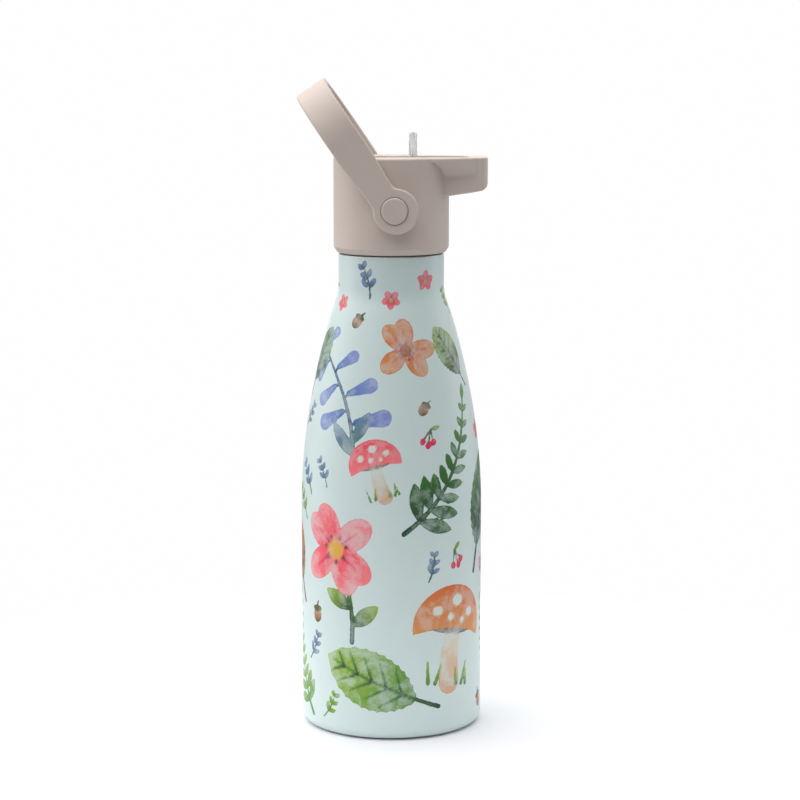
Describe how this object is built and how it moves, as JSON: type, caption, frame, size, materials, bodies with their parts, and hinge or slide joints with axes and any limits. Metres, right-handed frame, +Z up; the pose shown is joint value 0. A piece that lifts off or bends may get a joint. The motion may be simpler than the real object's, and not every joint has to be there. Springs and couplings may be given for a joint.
{
  "type": "insulated water bottle",
  "caption": "Slim double-walled steel bottle with a screw-on straw lid, a swinging carry handle, a beak-shaped trough and a flip-up soft mouthpiece.",
  "frame": {"origin": "centre of the flat base face that the bottle stands on", "axes": "+Z up along the bottle's axis; +X towards the lid's beak; the handle's and the mouthpiece's pivots lie along Y"},
  "size_m": [0.0678, 0.065, 0.2326],
  "materials": {
    "painted_shell": "satin powder coat, pale mint, with a printed watercolour pattern of leaves, flowers and mushrooms",
    "base_steel": "brushed",
    "solder": "dull cast bead",
    "base_disc": "brushed, round lay",
    "flask_steel": "electropolished",
    "getter": "pressed powder",
    "lid_plastic": "fine matte moulding, warm beige",
    "handle_plastic": "fine matte moulding, warm beige",
    "pin_plastic": "fine matte moulding, warm beige",
    "plug_plastic": "moulded",
    "foam": "closed-cell foam",
    "silicone": "translucent silicone",
    "straw_clear": "translucent",
    "barrel_plastic": "moulded",
    "mouth_silicone": "frosted translucent silicone"
  },
  "bodies": {
    "flask": {"outer_shell": "painted_shell", "outer_base": "base_steel", "sealing_bead": "solder", "base_cover": "base_disc", "inner_flask": "flask_steel", "inner_base": "flask_steel", "getter_cup": "base_steel", "getter_pill": "getter"},
    "seal_ring": {"lid_gasket": "silicone"},
    "lid": {"cap_shell": "lid_plastic", "threaded_plug": "plug_plastic", "insulation_core": "foam", "port_seal": "silicone", "vent_valve": "silicone", "straw": "straw_clear", "pivot_pin_left": "pin_plastic", "pivot_pin_right": "pin_plastic"},
    "carry_handle": {"handle": "handle_plastic"},
    "spout": {"spout_barrel": "barrel_plastic", "mouthpiece": "mouth_silicone"}
  },
  "joints": [
    {"name": "lid_rise", "type": "slide", "parent": "flask", "child": "seal_ring", "axis": [0, 0, 1], "range_m": [0, 0.0126]},
    {"name": "lid_turn", "type": "hinge", "parent": "seal_ring", "child": "lid", "pos_m": [0, 0, 0.17], "axis": [0, 0, 1], "range_deg": [0, 756]},
    {"name": "handle_swing", "type": "hinge", "parent": "lid", "child": "carry_handle", "pos_m": [0.0012, 0, 0.187], "axis": [0, 1, 0], "range_deg": [-99, 171]},
    {"name": "spout_flip", "type": "hinge", "parent": "lid", "child": "spout", "pos_m": [0.00775, 0, 0.1972], "axis": [0, 1, 0], "range_deg": [0, 90]}
  ],
  "couplings": [
    {"joint": "lid_rise", "follows": "lid_turn", "m_per_rad": 0.00095493}
  ]
}
